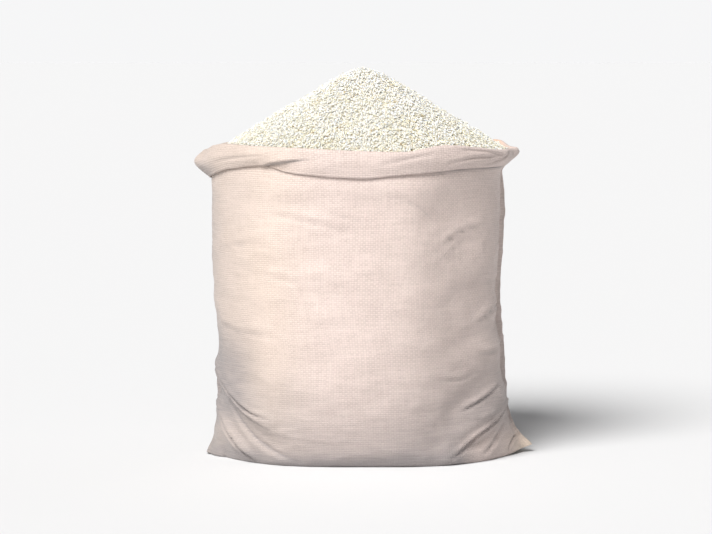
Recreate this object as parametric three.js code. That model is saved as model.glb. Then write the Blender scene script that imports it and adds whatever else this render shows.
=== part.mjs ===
// An open woven sack of rice that stands on its base. Its mouth is turned outwards and down as a
// cuff, its two bottom corners stick out as ears, and the grain is heaped above the rim.
// Millimetres, +Z up, front towards -Y, origin on the floor under the middle of the outline.

import * as THREE from "three";

// Driving dimensions.
const CLOTH = 2; // the sack's wall, with the air that its folds hold
const GAP = 0.3; // between the grain and the cloth that it presses on
const BODY_TOP = 350; // where the plain wall passes behind the cuff
const RIM_FRONT = 386; // top of the turned mouth at the front
const RIM_BACK = 391;
const RIM_WAVE = { rise: 2.5, count: 7, phase: 2.16 }; // the turned cloth stands in soft waves
const CUFF_DROP = 32; // from the top of the turn to the cuff's lower edge
const CUFF_STAND = 9; // how far the cuff stands off the wall
const TURN_RADIUS = 5; // the roll of cloth at the top of the turn
const BELLY_TALL = 90; // below this the wall curves in towards the bottom edge between the ears
const BELLY_DEEP = 20; // how far in it curves
const SQUARENESS = 2.35; // 2 is an ellipse in plan, more is squarer

// Reach of the wall from the origin at a few heights: to the left, to the right, and in depth.
const LEFT_REACH = [[0, 187], [66, 184], [126, 181], [191, 187], [256, 190], [390, 190]];
const RIGHT_REACH = [[0, 188], [66, 181], [126, 176], [206, 171], [296, 176], [390, 172]];
const HALF_DEPTH = [[0, 149], [80, 150], [156, 150], [276, 147], [390, 143]];

// A corner of the flat bag sticks out as a fin: how far, how high it fades, and half its thickness.
const RIGHT_EAR = { reach: 21.5, height: 22, halfThick: 11 };
const LEFT_EAR = { reach: 9, height: 10, halfThick: 9 };

// The cuff's side corners stand out further. The left one droops, the right one points up.
const LEFT_CORNER = { reach: 10.5, droop: 11, spread: 34 };
const RIGHT_CORNER = { reach: 12, droop: -16, spread: 26 };

// Soft folds of the wall: which face (-1 front, 1 back), two ends as [x, z], half width, rise.
const FOLDS = [
  { face: -1, from: [-184, 114], to: [-118, 54], halfWidth: 15, rise: 4 },
  { face: -1, from: [-176, 72], to: [-112, 18], halfWidth: 13, rise: -4 },
  { face: -1, from: [172, 72], to: [108, 22], halfWidth: 14, rise: 5 },
  { face: -1, from: [166, 106], to: [112, 68], halfWidth: 14, rise: -4 },
  { face: -1, from: [96, 306], to: [132, 270], halfWidth: 24, rise: -5 },
  { face: -1, from: [-100, 340], to: [90, 342], halfWidth: 16, rise: 3 },
  { face: 1, from: [-170, 90], to: [-104, 32], halfWidth: 14, rise: 4 },
  { face: 1, from: [168, 116], to: [104, 64], halfWidth: 15, rise: -4 },
  { face: 1, from: [-128, 302], to: [-70, 260], halfWidth: 24, rise: -4 },
];

// The heap of grain: its peak, and the height at which it meets the cloth on each side.
const PEAK = new THREE.Vector3(-9, 4, 485);
const GRAIN_EDGE = { left: 377, right: 382, front: 376, back: 381 };
const PEAK_ROUND = 0.12; // blunt tip, as a share of the heap's radius
const HEAP_UNEVEN = 1.8; // how far slides of grain lift or lower the slope

// Steps of the mesh.
const QUARTER_COLUMNS = 15;
const WALL_ROWS = 12;
const BELLY_ROWS = 5;
const HEAP_ROWS = 10;

// Value at a height, on a smooth curve through the rows of [height, value].
function atHeight(rows, z) {
  const last = rows.length - 1;
  const height = THREE.MathUtils.clamp(z, rows[0][0], rows[last][0]);
  let i = 0;
  while (i < last - 1 && height > rows[i + 1][0]) i += 1;
  const slope = (k) => {
    const low = rows[Math.max(k - 1, 0)];
    const high = rows[Math.min(k + 1, last)];
    return (high[1] - low[1]) / (high[0] - low[0]);
  };
  const span = rows[i + 1][0] - rows[i][0];
  const t = (height - rows[i][0]) / span;
  const rise = rows[i][1] * (2 * t ** 3 - 3 * t ** 2 + 1) + rows[i + 1][1] * (3 * t ** 2 - 2 * t ** 3);
  const lean = slope(i) * (t ** 3 - 2 * t ** 2 + t) + slope(i + 1) * (t ** 3 - t ** 2);
  return rise + lean * span;
}

// Rounded-square plan: the share of the half width and half depth at an angle.
function planShare(angle) {
  const power = 2 / SQUARENESS;
  const c = Math.cos(angle);
  const s = Math.sin(angle);
  return [Math.sign(c) * Math.abs(c) ** power, Math.sign(s) * Math.abs(s) ** power];
}

// Angles of the mesh columns, closest together at the two side creases, where the ears are.
function columnAngles() {
  const quarter = [];
  for (let k = 0; k < QUARTER_COLUMNS; k += 1) {
    const share = (k / QUARTER_COLUMNS) ** 1.6;
    const depthShare = Math.sin((share * Math.PI) / 2) ** (SQUARENESS / 2);
    quarter.push(Math.asin(Math.min(depthShare ** 0.9, 1)));
  }
  const mirrored = quarter.slice(1).reverse().map((angle) => Math.PI - angle);
  const half = [...quarter, Math.PI / 2, ...mirrored];
  return [...half, ...half.map((angle) => angle + Math.PI)];
}

const COLUMNS = columnAngles();

// How far a soft fold lifts the wall at a place on it.
function foldRise(x, y, z) {
  let rise = 0;
  for (const fold of FOLDS) {
    if (Math.sign(y) !== fold.face) continue;
    const from = new THREE.Vector2(...fold.from);
    const along = new THREE.Vector2(...fold.to).sub(from);
    const offset = new THREE.Vector2(x, z).sub(from);
    const t = THREE.MathUtils.clamp(offset.dot(along) / along.lengthSq(), 0, 1);
    const away = offset.distanceTo(along.clone().multiplyScalar(t)) / fold.halfWidth;
    rise += fold.rise * Math.exp(-(away ** 2));
  }
  return rise;
}

// How strongly a place belongs to a side crease: 1 on it, fading with the depth from it.
function nearSide(y, spread) {
  return Math.exp(-((y / spread) ** 2));
}

// A point of the wall at an angle and height. Inset moves it inwards, ears are on the outside only.
function wallPoint(angle, z, inset = 0, withEars = inset === 0) {
  const [across, deep] = planShare(angle);
  const left = atHeight(LEFT_REACH, z);
  const right = atHeight(RIGHT_REACH, z);
  const depth = atHeight(HALF_DEPTH, z);
  const under = THREE.MathUtils.clamp((BELLY_TALL - z) / (BELLY_TALL - inset), 0, 1);
  const tuck = (BELLY_DEEP - inset) * (1 - Math.sqrt(1 - under ** 2));
  const middle = (right - left) / 2;
  let y = deep * (depth - inset - tuck);
  const sideTuck = tuck * (1 - 0.7 * nearSide(y, 40));
  let x = middle + across * ((right + left) / 2 - inset - sideTuck);
  const rise = foldRise(x, y, z) * THREE.MathUtils.smoothstep(z, 4, 30);
  const outward = new THREE.Vector2(Math.cos(angle), Math.sin(angle));
  x += outward.x * rise;
  y += outward.y * rise;
  if (withEars) {
    const ear = across > 0 ? RIGHT_EAR : LEFT_EAR;
    x += Math.sign(across) * ear.reach * Math.exp(-z / ear.height) * nearSide(y, ear.halfThick);
    x += Math.sign(across) * 0.3 * tuck * nearSide(y, ear.halfThick);
  }
  return new THREE.Vector3(x, y, z);
}

// Height of the top of the turned mouth at an angle.
function rimHeight(angle) {
  const [, deep] = planShare(angle);
  const wave = RIM_WAVE.rise * Math.sin(RIM_WAVE.count * angle + RIM_WAVE.phase);
  return THREE.MathUtils.lerp(RIM_FRONT, RIM_BACK, (deep + 1) / 2) + wave;
}

// A point of the cuff: a share of its stand-off out from the wall, and a drop below the rim.
function cuffPoint(angle, outShare, drop) {
  const rim = rimHeight(angle);
  const top = wallPoint(angle, BODY_TOP);
  const corner = Math.cos(angle) > 0 ? RIGHT_CORNER : LEFT_CORNER;
  const side = nearSide(top.y, corner.spread);
  const out = outShare * (CUFF_STAND + corner.reach * side);
  const below = drop * (1 + (corner.droop * side) / CUFF_DROP);
  const outward = new THREE.Vector2(Math.cos(angle), Math.sin(angle));
  return new THREE.Vector3(top.x + outward.x * out, top.y + outward.y * out, rim - below);
}

function ring(pointAt) {
  return COLUMNS.map((angle) => pointAt(angle));
}

// Rings of the wall from the floor up to the cuff, so far inside the outer face of the cloth.
function wallRings(inset) {
  const rings = [];
  for (let k = 0; k <= BELLY_ROWS; k += 1) {
    const turn = (k / BELLY_ROWS) * (Math.PI / 2);
    const z = BELLY_TALL - (BELLY_TALL - inset) * Math.cos(turn);
    rings.push(ring((angle) => wallPoint(angle, z, inset)));
  }
  for (let k = 1; k <= WALL_ROWS; k += 1) {
    const z = THREE.MathUtils.lerp(BELLY_TALL, BODY_TOP, k / WALL_ROWS);
    rings.push(ring((angle) => wallPoint(angle, z, inset)));
  }
  const floor = [0.4, 0.75].map((share) =>
    rings[0].map((p) => new THREE.Vector3(p.x * share, p.y * share, p.z)),
  );
  return [...floor, ...rings];
}

// A closed skin over rings of points that run anticlockwise seen from above, with a pole at each end.
function skin(firstPole, rings, lastPole) {
  const count = COLUMNS.length;
  const points = [firstPole, ...rings.flat(), lastPole];
  const index = [];
  const at = (row, column) => 1 + row * count + (column % count);
  for (let j = 0; j < count; j += 1) {
    index.push(0, at(0, j + 1), at(0, j));
    index.push(points.length - 1, at(rings.length - 1, j), at(rings.length - 1, j + 1));
    for (let i = 0; i < rings.length - 1; i += 1) {
      const corners = [at(i, j), at(i, j + 1), at(i + 1, j + 1), at(i + 1, j)];
      // Every quad is split the same way seen from outside, so that cloth and grain stay parallel.
      const rising = rings[i + 1][j].z >= rings[i][j].z;
      const [a, b, c, d] = rising ? corners : [...corners.slice(1), corners[0]];
      index.push(a, b, c, a, c, d);
    }
  }
  const geometry = new THREE.BufferGeometry().setFromPoints(points);
  geometry.setIndex(index);
  geometry.computeVertexNormals();
  return geometry;
}

// The sack is one piece of cloth: floor, wall, the turn at the mouth and the cuff outside it.
function sack() {
  const rings = wallRings(0);
  // Up behind the cuff, down its back, round its hem and up its face, as shares of the stand-off.
  const cuffSection = [
    [0.02, 13],
    [0.4, CUFF_DROP - 2],
    [0.65, CUFF_DROP],
    [0.9, CUFF_DROP * 0.7],
    [1, CUFF_DROP * 0.4],
    [0.85, TURN_RADIUS * 0.8],
    [0.5, 0.6],
    [0.1, 0.4],
  ];
  for (const [outShare, drop] of cuffSection) {
    rings.push(ring((angle) => cuffPoint(angle, outShare, drop)));
  }
  const mouth = ring((angle) => {
    const p = wallPoint(angle, BODY_TOP, CLOTH);
    return new THREE.Vector3(p.x, p.y, rimHeight(angle) - TURN_RADIUS);
  });
  rings.push(mouth, ...wallRings(CLOTH).reverse());
  return skin(new THREE.Vector3(0, 0, 0), rings, new THREE.Vector3(0, 0, CLOTH));
}

// Height at which the heap meets the cloth at an angle.
function grainEdge(angle) {
  const [across, deep] = planShare(angle);
  const sideways = across > 0 ? GRAIN_EDGE.right : GRAIN_EDGE.left;
  const fore = deep > 0 ? GRAIN_EDGE.back : GRAIN_EDGE.front;
  return THREE.MathUtils.lerp(fore, sideways, across ** 2);
}

// The grain fills the sack and rises to a blunt, slightly uneven cone.
function rice() {
  const edge = ring((angle) => {
    const p = wallPoint(angle, BODY_TOP, CLOTH + GAP);
    return new THREE.Vector3(p.x, p.y, grainEdge(angle));
  });
  const rings = [...wallRings(CLOTH + GAP), edge];
  const widest = Math.hypot(1, PEAK_ROUND);
  for (let k = 1; k < HEAP_ROWS; k += 1) {
    const share = 1 - k / HEAP_ROWS;
    const climb = (widest - Math.hypot(share, PEAK_ROUND)) / (widest - PEAK_ROUND);
    rings.push(
      edge.map((foot) => {
        const p = PEAK.clone().lerp(foot, share);
        const slides = Math.sin(p.x / 23 + 1) * Math.cos(p.y / 19) + Math.sin((p.x + p.y) / 37);
        p.z = foot.z + (PEAK.z - foot.z) * climb;
        p.z += HEAP_UNEVEN * slides * (1 - share) * share * 4;
        return p;
      }),
    );
  }
  return skin(new THREE.Vector3(0, 0, CLOTH + GAP), rings, PEAK);
}

function mesh(name, geometry, color, roughness) {
  const material = new THREE.MeshStandardMaterial({ color, roughness, metalness: 0 });
  const made = new THREE.Mesh(geometry, material);
  made.name = name;
  return made;
}

const riceSack = new THREE.Group();
riceSack.add(mesh("sack", sack(), 0xeedccf, 0.75));
riceSack.add(mesh("rice", rice(), 0xf0ece0, 0.6));

export default riceSack;
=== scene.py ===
"""An open woven sack of rice: the cloth with its cuff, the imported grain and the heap's loose grains."""
import math

import bpy
import numpy as np
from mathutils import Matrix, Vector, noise


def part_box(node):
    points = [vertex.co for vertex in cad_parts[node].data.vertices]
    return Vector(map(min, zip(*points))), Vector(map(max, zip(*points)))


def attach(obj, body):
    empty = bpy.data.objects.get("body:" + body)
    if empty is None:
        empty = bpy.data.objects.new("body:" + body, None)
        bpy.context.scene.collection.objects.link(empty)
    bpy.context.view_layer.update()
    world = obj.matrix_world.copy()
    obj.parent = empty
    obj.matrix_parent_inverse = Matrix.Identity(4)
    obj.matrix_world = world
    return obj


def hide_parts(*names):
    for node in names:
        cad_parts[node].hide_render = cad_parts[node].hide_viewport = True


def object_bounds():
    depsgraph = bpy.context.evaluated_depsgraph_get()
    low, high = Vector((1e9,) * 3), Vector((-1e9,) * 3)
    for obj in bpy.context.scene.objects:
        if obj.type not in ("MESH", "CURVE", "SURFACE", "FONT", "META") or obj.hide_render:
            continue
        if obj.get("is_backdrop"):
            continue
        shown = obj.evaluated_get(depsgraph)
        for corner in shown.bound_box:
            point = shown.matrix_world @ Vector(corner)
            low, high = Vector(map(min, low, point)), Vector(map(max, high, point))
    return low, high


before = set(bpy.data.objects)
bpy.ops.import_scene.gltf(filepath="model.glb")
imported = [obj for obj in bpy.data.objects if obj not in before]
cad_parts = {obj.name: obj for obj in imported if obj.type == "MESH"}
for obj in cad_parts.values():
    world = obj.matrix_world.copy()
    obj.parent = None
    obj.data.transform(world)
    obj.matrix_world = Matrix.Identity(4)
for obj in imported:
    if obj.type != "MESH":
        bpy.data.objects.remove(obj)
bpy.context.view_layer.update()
scene = bpy.context.scene

# --------------------------------------------------
# Sack. One tube of woven plastic tape, sewn shut along the bottom, stood up and filled, so that it
# settles to a rounded square. Its bottom corners stay flat as ears, and its mouth is turned out and
# down as a cuff. It is made as one sheet of cloth, row by row from the bottom seam to the cuff's hem.
# --------------------------------------------------
MM = 0.001  # the cloth is laid out in millimetres and made in metres

sack_low, sack_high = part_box("sack")
rice_low, rice_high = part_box("rice")
LEFT_HALF = -sack_low.x / MM  # from the middle of the base to the left edge of the sack
RIGHT_HALF = sack_high.x / MM
HALF_DEPTH = (sack_high.y - sack_low.y) / 2 / MM
RIM = sack_high.z / MM

# The wall's reach at a few heights. Columns: height as a share of the rim's, then the reach to the
# left, to the right and in depth, as shares of the sack's half sizes.
WALL_SHAPE = np.array([
    [0.000, 0.892, 0.897, 0.998],
    [0.168, 0.878, 0.864, 1.001],
    [0.321, 0.863, 0.840, 0.990],
    [0.499, 0.894, 0.817, 0.972],
    [0.651, 0.906, 0.830, 0.956],
    [0.779, 0.907, 0.840, 0.945],
    [1.000, 0.906, 0.821, 0.925],
])
SQUARENESS = 2.35  # 2 is an ellipse in plan, more is squarer
BELLY_TALL = 112  # below this the wall curves in towards the bottom edge
BELLY_DEEP = 25  # how far in it curves
CORNER_STAND = 0.35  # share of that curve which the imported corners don't follow
BODY_TOP = 350  # where the plain wall passes behind the cuff
CLOTH_THICKNESS = 0.5

# Steps of the sheet. Its columns crowd together at the side creases, where the ears are.
QUARTER_COLUMNS = 72
CREASE_CROWDING = 0.42
BASE_ROWS = 6
FOLD_ROWS_TOP = 112  # below this the rows are fine enough for the sharp folds
FOLD_ROW = 2.2
WALL_ROW = 4.1

# A bottom corner: reach, height over which it fades, half thickness, lift and swing of its tip,
# and the run of cloth from the tip inwards that they are spread over.
RIGHT_EAR = {"reach": 24, "height": 24, "thick": 8, "lift": 9.5, "swing": -16, "run": 42}
LEFT_EAR = {"reach": 10, "height": 15, "thick": 12, "lift": 2, "swing": -28, "run": 26}
EARS = ((1, RIGHT_EAR, WALL_SHAPE[0, 2] * RIGHT_HALF), (-1, LEFT_EAR, WALL_SHAPE[0, 1] * LEFT_HALF))
EAR_EDGE = 1.4  # power of the fade in height: 2 is rounder, 1 is sharper
EAR_CURL = 1.3  # power at which the lift grows towards the tip
EAR_TALL = 30  # lift and swing fade out over this height
PINCH = 0.5  # share of a corner's reach that is pinched flat

# Unevenness of the wall: how wide and how tall its dents are, their seed, and how far they lift it.
LUMPS = (62, 24, 3.7)
LUMP_LIFT = 1.7
SMALL_DENTS = (26, 11, 9.1)
SMALL_DENT_LIFT = 0.7
CRUMPLE = (46, 17, 31.7)
CRUMPLE_SHARPNESS = 0.16
CRUMPLE_PATCHES = (120, 90, 12.4)
CRUMPLE_LIFT = 0.9
SIDE_RIDGE = 0.7  # the pressed edge of the flat bag, down each side
FINE_END = (316, 346)  # the fine relief fades out over these heights, below the hem
FOLDS_START = (4, 30)  # the soft folds grow in over these heights
FOLDS_END = (325, 370)  # and are weaker by this share above these
FOLDS_WEAKER = 0.7


def curve_through(stations, values, at):
    """Value on a smooth curve through the stations that doesn't swing past them."""
    stations, values = np.asarray(stations, float), np.asarray(values, float)
    run = np.diff(stations)
    rise = np.diff(values) / run
    product = np.maximum(rise[:-1] * rise[1:], 0)
    inner = 2 * product / np.where(product > 0, rise[:-1] + rise[1:], 1)
    slopes = np.concatenate([rise[:1], inner, rise[-1:]])
    at = np.clip(at, stations[0], stations[-1])
    k = np.clip(np.searchsorted(stations, at, side="right") - 1, 0, len(run) - 1)
    t = (at - stations[k]) / run[k]
    level = values[k] * (1 - 3 * t**2 + 2 * t**3) + values[k + 1] * (3 * t**2 - 2 * t**3)
    lean = slopes[k] * (t - 2 * t**2 + t**3) + slopes[k + 1] * (t**3 - t**2)
    return level + lean * run[k]


def plan_share(angle):
    """Share of the half width and half depth at a plan angle: 0 right, a quarter turn the front."""
    c, s = np.cos(angle), np.sin(angle)
    power = 2 / SQUARENESS
    return np.sign(c) * np.abs(c) ** power, -np.sign(s) * np.abs(s) ** power


def fade(distance, spread, power=2.0):
    """1 at no distance, fading smoothly to 0."""
    return np.exp(-((np.abs(distance) / spread) ** power))


def smooth_step(value, start, end):
    """0 up to the start, 1 from the end, and smooth between them."""
    t = np.clip((value - start) / (end - start), 0, 1)
    return t * t * (3 - 2 * t)


def together(*parts):
    """Vectors from their parts, each an array or one value for all."""
    return np.stack(np.broadcast_arrays(*parts), axis=-1)


def wall_reach(z):
    """Reach to the left and right and in depth at a height."""
    share = z / RIM
    left, right, deep = (curve_through(WALL_SHAPE[:, 0], WALL_SHAPE[:, k], share) for k in (1, 2, 3))
    return left * LEFT_HALF, right * RIGHT_HALF, deep * HALF_DEPTH


def wall_point(angle, z, inset=0.0):
    """A point of the plain wall, without ears or folds, so far inside the cloth."""
    across, deep = plan_share(angle)
    left, right, depth = wall_reach(z)
    under = np.clip(1 - z / BELLY_TALL, 0, 1)
    at_corner = np.clip(4 * across**2 * deep**2, 0, 1)
    tuck = BELLY_DEEP * (1 - np.sqrt(1 - under**2)) * (1 - CORNER_STAND * at_corner)
    y = deep * (depth - inset - tuck)
    side_tuck = tuck * (1 - fade(y, 80, 3))
    x = (right - left) / 2 + across * ((right + left) / 2 - inset - side_tuck)
    return together(x, y, z)


def run_along(points):
    """Length along a line of points, from its start to each of them."""
    return np.concatenate([[0], np.cumsum(np.linalg.norm(np.diff(points, axis=0), axis=1))])


def column_angles():
    """Plan angles of the columns, close together at the side creases."""
    fine = np.linspace(0, math.pi / 2, 3000)
    length = run_along(wall_point(fine, np.full_like(fine, RIM / 2)))
    share = np.arange(QUARTER_COLUMNS) / QUARTER_COLUMNS
    crowded = CREASE_CROWDING * share + (1 - CREASE_CROWDING) * share**2
    quarter = np.interp(crowded * length[-1], length, fine)
    half = np.concatenate([quarter, [math.pi / 2], math.pi - quarter[:0:-1]])
    return np.concatenate([half, half + math.pi])


ANGLES = column_angles()
COLUMNS = len(ANGLES)
HALF_COLUMNS = COLUMNS // 2
ON_FRONT = np.arange(COLUMNS) <= HALF_COLUMNS

# Where each column lies across the flat bag: the side creases are its two edges.
around = run_along(wall_point(np.append(ANGLES, ANGLES[0]), np.full(COLUMNS + 1, RIM / 2)))
front_width, back_width = around[HALF_COLUMNS], around[-1] - around[HALF_COLUMNS]
front_across = front_width / 2 - around[:HALF_COLUMNS]
back_across = around[HALF_COLUMNS:-1] - front_width - back_width / 2
ACROSS = np.concatenate([front_across, back_across * front_width / back_width])

# Length of cloth from the base edge up to a height: the belly's curve first, then straight up.
belly_turn = np.linspace(0, math.pi / 2, 500)
belly_z = BELLY_TALL * (1 - np.cos(belly_turn))
belly_in = BELLY_DEEP * (1 - np.sin(belly_turn))
belly_length = run_along(together(belly_z, belly_in))


def climb(z):
    """Length of cloth from the base edge up to a height."""
    return np.interp(z, belly_z, belly_length) + np.maximum(z - BELLY_TALL, 0)


fold_rows = np.arange(0, climb(FOLD_ROWS_TOP), FOLD_ROW)
wall_rows = np.arange(climb(FOLD_ROWS_TOP), climb(BODY_TOP), WALL_ROW)
CLIMBS = np.concatenate([fold_rows, wall_rows])
straight = np.maximum(CLIMBS - belly_length[-1], 0)
HEIGHTS = np.interp(CLIMBS, belly_length, belly_z) + straight


def pinched(y, thick):
    """Share of a corner's pull: the cloth swells towards the corner and is pinched flat at its tip."""
    return PINCH * fade(y, thick) + (1 - PINCH) * fade(y, 4 * thick)


def out_on_ear(x, side, ear, body):
    """Share of the way from the inner end of an ear to its tip."""
    return np.clip((side * x - body - ear["reach"]) / ear["run"] + 1, 0, 1)


def with_ears(points):
    """Pulls the bottom corners out into flat ears."""
    points = points.copy()
    x, y, z = points[..., 0].copy(), points[..., 1], points[..., 2].copy()
    for side, ear, body in EARS:
        on_side = side * x > 0
        share = fade(z, ear["height"], EAR_EDGE) * pinched(y, ear["thick"]) * on_side
        points[..., 0] += side * ear["reach"] * share
        out = out_on_ear(points[..., 0], side, ear, body) * on_side
        points[..., 2] += ear["lift"] * out**EAR_CURL * fade(z, EAR_TALL)
        points[..., 1] += ear["swing"] * out * fade(z, EAR_TALL)
    return points


# Soft folds of the wall: face (-1 front, 1 back), two ends as [x, z], half width and rise.
SOFT_FOLDS = [
    (-1, (-184, 114), (-118, 54), 14, 4.0),
    (-1, (-178, 78), (-108, 14), 13, -5.0),
    (-1, (-176, 30), (-140, 4), 10, 2.5),
    (-1, (172, 72), (108, 22), 13, 4.5),
    (-1, (166, 108), (112, 68), 13, -4.0),
    (-1, (88, 302), (128, 268), 20, -4.0),
    (-1, (-105, 339), (92, 342), 13, 2.4),
    (-1, (-150, 322), (140, 320), 11, -1.0),
    (-1, (150, 210), (112, 200), 16, -2.5),
    (-1, (176, 166), (140, 156), 12, -2.5),
    (-1, (60, 70), (66, 330), 26, 1.6),
    (-1, (126, 14), (136, 330), 50, -11),
    (1, (-170, 90), (-104, 32), 14, 4.0),
    (1, (168, 116), (104, 64), 15, -4.0),
    (1, (-128, 302), (-70, 260), 24, -4.0),
    (1, (-90, 338), (110, 340), 14, 3.0),
    (1, (20, 216), (120, 196), 22, -2.5),
]


def soft_rise(points):
    """How far the soft folds and the lumps of packed grain lift the wall."""
    x, y, z = points[..., 0], points[..., 1], points[..., 2]
    rise = np.zeros(x.shape)
    for face, start, end, half_width, lift in SOFT_FOLDS:
        along = np.subtract(end, start)
        t = np.clip(((x - start[0]) * along[0] + (z - start[1]) * along[1]) / (along @ along), 0, 1)
        away = np.hypot(x - start[0] - t * along[0], z - start[1] - t * along[1])
        rise += lift * fade(away, half_width) * (np.sign(y) == face)
    rise *= smooth_step(z, *FOLDS_START) * (1 - FOLDS_WEAKER * smooth_step(z, *FOLDS_END))
    return rise + LUMP_LIFT * dents(points, *LUMPS)


def dents(points, wide, tall, seed):
    """Smooth unevenness about 1 either way, with dents so wide and so tall."""
    flat = points.reshape(-1, 3) / (wide, wide, tall) + seed
    return np.array([noise.noise(p) for p in flat.tolist()]).reshape(points.shape[:-1])


def wrinkles(points):
    """Thin ridges where stiff cloth has been crumpled and pressed flat again, 0 to 1."""
    ridge = np.clip(1 - np.abs(dents(points, *CRUMPLE)) / CRUMPLE_SHARPNESS, 0, 1)
    patches = np.clip(0.5 + 1.6 * dents(points, *CRUMPLE_PATCHES), 0, 1)
    return ridge**1.5 * patches


def route_on_face(face, route, level):
    """A smooth route on the flat cloth through points given as [x, z] on a face of the sack."""
    route = np.asarray(route, float)
    t = np.linspace(0, len(route) - 1, 12 * (len(route) - 1) + 1)
    x, z = (curve_through(np.arange(len(route)), route[:, k], t) for k in (0, 1))
    columns = np.arange(0, HALF_COLUMNS + 1) if face < 0 else np.arange(HALF_COLUMNS, COLUMNS + 1)
    across = []
    for place, height in zip(x, z):
        ring = wall_point(ANGLES[columns % COLUMNS], np.full(len(columns), height))[:, 0]
        order = np.argsort(ring)
        across.append(np.interp(place, ring[order], ACROSS[columns % COLUMNS][order]))
    return together(across, level(z))


def along_route(across, height, route):
    """Signed distance from a route (above it is positive) and the share of its length, 0 to 1."""
    best = np.full(across.shape, np.inf)
    signed, share = np.zeros(across.shape), np.zeros(across.shape)
    count = len(route) - 1
    for k, (start, end) in enumerate(zip(route[:-1], route[1:])):
        step = end - start
        t = ((across - start[0]) * step[0] + (height - start[1]) * step[1]) / (step @ step)
        t = np.clip(t, 0, 1)
        dx, dz = across - start[0] - t * step[0], height - start[1] - t * step[1]
        distance = np.hypot(dx, dz)
        nearer = distance < best
        best = np.where(nearer, distance, best)
        upward = np.sign(step[0]) * (step[0] * dz - step[1] * dx)
        signed = np.where(nearer, np.copysign(distance, upward), signed)
        share = np.where(nearer, (k + t) / count, share)
    return signed, share


CREASE_REACH = 5  # a crease is felt this many widths away
CREASE_ENDS = (0.10, 0.98)  # shares of its length that its taper starts and ends at
CREASE_TAPER = 0.6  # power of its taper: a lower one keeps its full depth for longer
GROOVE_WIDTH = 0.55  # of the crease's width


def crease_rise(across, height, on_face, route, width, above, below, depth):
    """Lift of a sharp crease: a groove with a lip above and a lip below, fading to its ends."""
    reach = CREASE_REACH * width
    low, high = route.min(axis=0) - reach, route.max(axis=0) + reach
    near = on_face & (across > low[0]) & (across < high[0]) & (height > low[1]) & (height < high[1])
    rise = np.zeros(across.shape)
    signed, share = along_route(across[near], height[near], route)
    taper = np.sin(math.pi * np.clip(share, *CREASE_ENDS)) ** CREASE_TAPER
    lips = above * fade(signed - width, width) + below * fade(signed + width, width)
    rise[near] = taper * (lips - depth * fade(signed, GROOVE_WIDTH * width))
    return rise


def all_creases(creases, height, allowed, level):
    """Lift of the creases of both faces on the allowed points, at their heights on the flat cloth."""
    across = np.broadcast_to(ACROSS, height.shape)
    rise = np.zeros(height.shape)
    for face, of_face in creases.items():
        on_face = allowed & (ON_FRONT == (face < 0))
        for places, *sizes in of_face:
            rise += crease_rise(across, height, on_face, route_on_face(face, places, level), *sizes)
    return rise


# Sharp creases of the wall, front (-1) and back (1): the groove's route, its width, the lips above and
# below it, and its depth.
CREASES = {-1: [
    ([(-186, 114), (-174, 96), (-160, 81), (-148, 71), (-134, 63), (-112, 57)], 3.2, 3.6, 4.4, 5.2),
    ([(-154, 66), (-134, 53), (-112, 44)], 2.6, 1.6, 1.0, 1.8),
    ([(-186, 62), (-173, 43), (-160, 28), (-146, 13), (-132, 2)], 4.2, 6.5, 2.6, 6.5),
    ([(-166, 70), (-150, 48), (-134, 31), (-110, 17), (-84, 8)], 5.0, 1.6, 3.0, 3.2),
    ([(182, 62), (168, 48), (154, 38), (142, 31), (126, 20), (106, 8)], 3.4, 6.0, 2.0, 6.0),
    ([(172, 90), (150, 76), (124, 64)], 3.0, 3.6, 1.0, 3.4),
    ([(166, 58), (148, 51)], 2.6, 1.8, 0.5, 1.4),
    ([(176, 40), (165, 22), (146, 8)], 5.0, 2.0, 1.6, 3.0),
    ([(192, 36), (187, 22), (178, 4)], 3.0, 1.6, 2.6, 3.4),
    ([(178, 222), (160, 218), (140, 216)], 4.0, 2.0, 0.6, 1.8),
    ([(178, 192), (164, 182), (146, 170)], 4.4, 2.4, 0.8, 2.6),
    ([(179, 138), (166, 133), (148, 132)], 4.0, 2.4, 0.6, 2.2),
    ([(148, 290), (122, 283), (100, 268)], 5.0, 2.0, 1.2, 2.2),
    ([(88, 264), (102, 274), (118, 278), (130, 286)], 3.0, 1.6, 1.0, 2.0),
    ([(96, 252), (110, 262), (128, 268)], 3.0, 1.4, 1.2, 1.8),
    ([(112, 244), (124, 252), (134, 256)], 3.0, 1.2, 0.8, 1.4),
    ([(-104, 306), (-68, 299), (-20, 288)], 5.0, 1.8, 0.8, 1.7),
    ([(-50, 315), (-18, 303), (6, 298)], 4.0, 1.4, 0.6, 1.4),
    ([(-174, 262), (-140, 270), (-112, 268)], 5.0, 1.2, 0.6, 1.4),
    ([(-120, 234), (-84, 228), (-40, 232)], 5.0, 1.2, 0.6, 1.2),
    ([(-174, 168), (-146, 160), (-120, 162)], 5.0, 1.4, 0.6, 1.4),
    ([(30, 330), (62, 318), (84, 300)], 5.0, 1.4, 0.8, 1.6),
    ([(150, 112), (118, 104), (84, 108)], 5.0, 1.2, 0.6, 1.3),
], 1: [
    ([(-178, 106), (-160, 82), (-138, 64), (-112, 56)], 3.4, 2.5, 3.4, 3.2),
    ([(-182, 50), (-166, 30), (-146, 10)], 3.6, 3.6, 1.4, 3.0),
    ([(176, 66), (158, 48), (134, 30), (108, 16)], 3.4, 4.0, 1.4, 3.4),
    ([(172, 104), (150, 88), (124, 78)], 3.4, 2.4, 0.8, 2.0),
    ([(-176, 228), (-150, 216), (-124, 212)], 5.0, 2.2, 0.8, 2.4),
    ([(150, 298), (118, 286), (84, 282)], 5.0, 1.8, 0.8, 2.0),
    ([(-60, 310), (-20, 300), (30, 304)], 5.0, 1.6, 0.8, 1.6),
    ([(-130, 150), (-90, 142), (-50, 146)], 5.0, 1.4, 0.6, 1.4),
]}


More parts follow.
